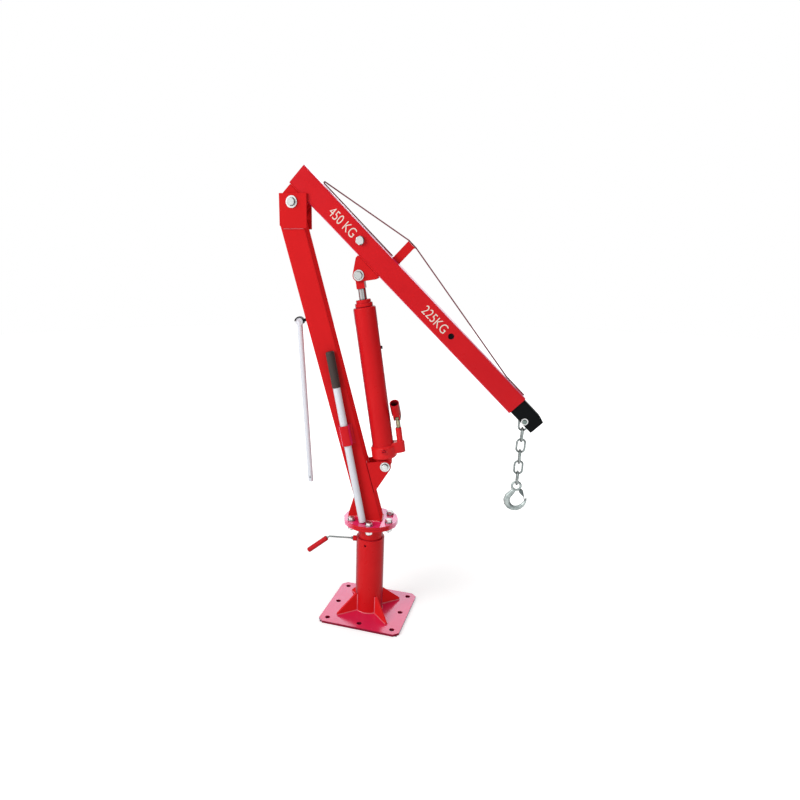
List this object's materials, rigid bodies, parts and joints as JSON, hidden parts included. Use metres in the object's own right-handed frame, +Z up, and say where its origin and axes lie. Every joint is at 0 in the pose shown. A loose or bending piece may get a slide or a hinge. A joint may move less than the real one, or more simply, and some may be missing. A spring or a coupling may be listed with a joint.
{
  "type": "hydraulic pickup truck crane",
  "caption": "Swivelling truck bed crane: bolted post, leaning mast, hinged boom on a hand-pumped ram, sliding inner boom, and a short chain with a latched hook.",
  "frame": {"origin": "middle of the base plate's underside, where it stands on the truck bed", "axes": "+Z up along the post's axis; +X points towards the boom's tip; -Y is the operator's side, where the pump handle is kept"},
  "size_m": [0.746, 0.3058, 1.333],
  "materials": {
    "red_paint": "gloss red powder coat",
    "black_paint": "black powder coat",
    "white_paint": "white powder coat",
    "zinc": "bright zinc plate",
    "chrome": "hard chrome, ground and polished",
    "rubber": "moulded rubber",
    "red_plastic": "dipped vinyl grip",
    "chain_steel": "zinc-plated lifting steel"
  },
  "bodies": {
    "base": {"base_plate": "red_paint", "base_gusset_1": "red_paint", "base_gusset_2": "red_paint", "base_gusset_3": "red_paint", "base_gusset_4": "red_paint", "base_post": "red_paint"},
    "lock_screw": {"lock_screw": "zinc", "lock_grip": "red_plastic"},
    "swivel": {"swivel_tube": "red_paint", "swivel_flange": "red_paint", "mast_flange": "red_paint", "flange_bolt_1": "zinc", "flange_bolt_2": "zinc", "flange_bolt_3": "zinc", "flange_bolt_4": "zinc", "flange_bolt_5": "zinc", "flange_bolt_6": "zinc", "mast_tube": "red_paint", "mast_gusset": "red_paint", "mast_ear_front": "red_paint", "mast_ear_back": "red_paint", "ram_foot_bolt": "zinc", "cheek_front": "red_paint", "cheek_back": "red_paint", "head_bolt": "zinc", "handle_strap": "red_paint", "handle_clip": "black_paint"},
    "pump_handle": {"pump_handle": "white_paint", "handle_rubber": "rubber"},
    "spare_handle": {"spare_handle": "white_paint"},
    "boom": {"boom_tube": "red_paint", "boom_lug": "red_paint", "boom_ear_front": "red_paint", "boom_ear_back": "red_paint", "ram_head_bolt": "zinc", "king_post": "red_paint", "truss_rod": "red_paint"},
    "lock_bolt": {"lock_bolt": "zinc"},
    "lock_nut": {"lock_nut": "zinc"},
    "inner_boom": {"inner_boom": "black_paint", "hook_bolt": "zinc"},
    "link_1": {"chain_link_1": "chain_steel"},
    "link_2": {"chain_link_2": "chain_steel"},
    "link_3": {"chain_link_3": "chain_steel"},
    "link_4": {"chain_link_4": "chain_steel"},
    "link_5": {"chain_link_5": "chain_steel"},
    "link_6": {"chain_link_6": "chain_steel"},
    "hook": {"hook_body": "chain_steel"},
    "latch": {"hook_latch": "chain_steel"},
    "ram": {"ram_casting": "red_paint", "ram_tank": "red_paint", "ram_cylinder": "chrome", "ram_gland": "red_paint", "filler_plug": "rubber", "pump_link": "zinc"},
    "ram_rod": {"ram_rod": "chrome", "rod_end": "red_paint"},
    "pump_plunger": {"pump_plunger": "zinc"},
    "pump_lever": {"pump_lever": "red_paint"},
    "release_valve": {"release_valve": "red_paint"}
  },
  "joints": [
    {"name": "swivel", "type": "hinge", "parent": "base", "child": "swivel", "pos_m": [0, 0, 0.268], "axis": [0, 0, 1], "continuous": true},
    {"name": "lock_screw", "type": "hinge", "parent": "base", "child": "lock_screw", "pos_m": [0, 0, 0.256], "axis": [1, 0, 0], "continuous": true},
    {"name": "boom_lift", "type": "hinge", "parent": "swivel", "child": "boom", "pos_m": [-0.22776, 0, 1.24335], "axis": [0, -1, 0], "range_deg": [0, 100]},
    {"name": "ram_tilt", "type": "hinge", "parent": "swivel", "child": "ram", "pos_m": [0.04133, 0, 0.51232], "axis": [0, -1, 0], "range_deg": [-2, 0]},
    {"name": "ram_extend", "type": "slide", "parent": "ram", "child": "ram_rod", "axis": [-0.1589, 0, 0.9873], "range_m": [0, 0.3965]},
    {"name": "boom_extend", "type": "slide", "parent": "boom", "child": "inner_boom", "axis": [0.7193, 0, -0.6947], "range_m": [0, 0.356]},
    {"name": "lock_bolt", "type": "slide", "parent": "boom", "child": "lock_bolt", "axis": [0, -1, 0], "range_m": [0, 0.09]},
    {"name": "lock_nut", "type": "slide", "parent": "boom", "child": "lock_nut", "axis": [0, 1, 0], "range_m": [0, 0.03]},
    {"name": "chain_hang", "type": "hinge", "parent": "inner_boom", "child": "link_1", "pos_m": [0.43226, 0, 0.66576], "axis": [0, -1, 0], "range_deg": [-100, 0]},
    {"name": "link_2_swing", "type": "hinge", "parent": "link_1", "child": "link_2", "pos_m": [0.43226, 0, 0.63456], "axis": [1, 0, 0], "range_deg": [-25, 25]},
    {"name": "link_3_swing", "type": "hinge", "parent": "link_2", "child": "link_3", "pos_m": [0.43226, 0, 0.60136], "axis": [0, 1, 0], "range_deg": [-25, 25]},
    {"name": "link_4_swing", "type": "hinge", "parent": "link_3", "child": "link_4", "pos_m": [0.43226, 0, 0.56816], "axis": [1, 0, 0], "range_deg": [-25, 25]},
    {"name": "link_5_swing", "type": "hinge", "parent": "link_4", "child": "link_5", "pos_m": [0.43226, 0, 0.53496], "axis": [0, 1, 0], "range_deg": [-25, 25]},
    {"name": "link_6_swing", "type": "hinge", "parent": "link_5", "child": "link_6", "pos_m": [0.43226, 0, 0.50176], "axis": [1, 0, 0], "range_deg": [-25, 25]},
    {"name": "hook_swing", "type": "hinge", "parent": "link_6", "child": "hook", "pos_m": [0.43226, 0, 0.46856], "axis": [0, 1, 0], "range_deg": [-25, 25]},
    {"name": "hook_latch", "type": "hinge", "parent": "hook", "child": "latch", "pos_m": [0.44776, 0, 0.44586], "axis": [0, 1, 0], "range_deg": [0, 50], "stiffness_Nm_per_rad": 0.04, "springref_deg": -22.92},
    {"name": "pump_lever", "type": "hinge", "parent": "ram", "child": "pump_lever", "pos_m": [0.07042, 0.02, 0.6588], "axis": [0.9873, 0, 0.1589], "range_deg": [-12, 30]},
    {"name": "pump_stroke", "type": "slide", "parent": "ram", "child": "pump_plunger", "axis": [0.1589, 0, -0.9873], "range_m": [-0.0047, 0.0116]},
    {"name": "release_valve", "type": "hinge", "parent": "ram", "child": "release_valve", "pos_m": [0.03733, 0, 0.56232], "axis": [0, -1, 0], "range_deg": [0, 270]},
    {"name": "handle_lift", "type": "slide", "parent": "swivel", "child": "pump_handle", "axis": [-0.1942, 0, 0.981], "range_m": [0, 0.31]},
    {"name": "spare_swing", "type": "hinge", "parent": "swivel", "child": "spare_handle", "pos_m": [-0.21898, 0, 0.93071], "axis": [0, -1, 0], "range_deg": [-45, 11]}
  ],
  "couplings": [
    {"joint": "ram_tilt", "follows": "boom_lift", "ratio": -0.019876},
    {"joint": "ram_extend", "follows": "boom_lift", "m_per_rad": 0.22699},
    {"joint": "chain_hang", "follows": "boom_lift", "ratio": -1},
    {"joint": "pump_stroke", "follows": "pump_lever", "m_per_rad": 0.022053}
  ]
}
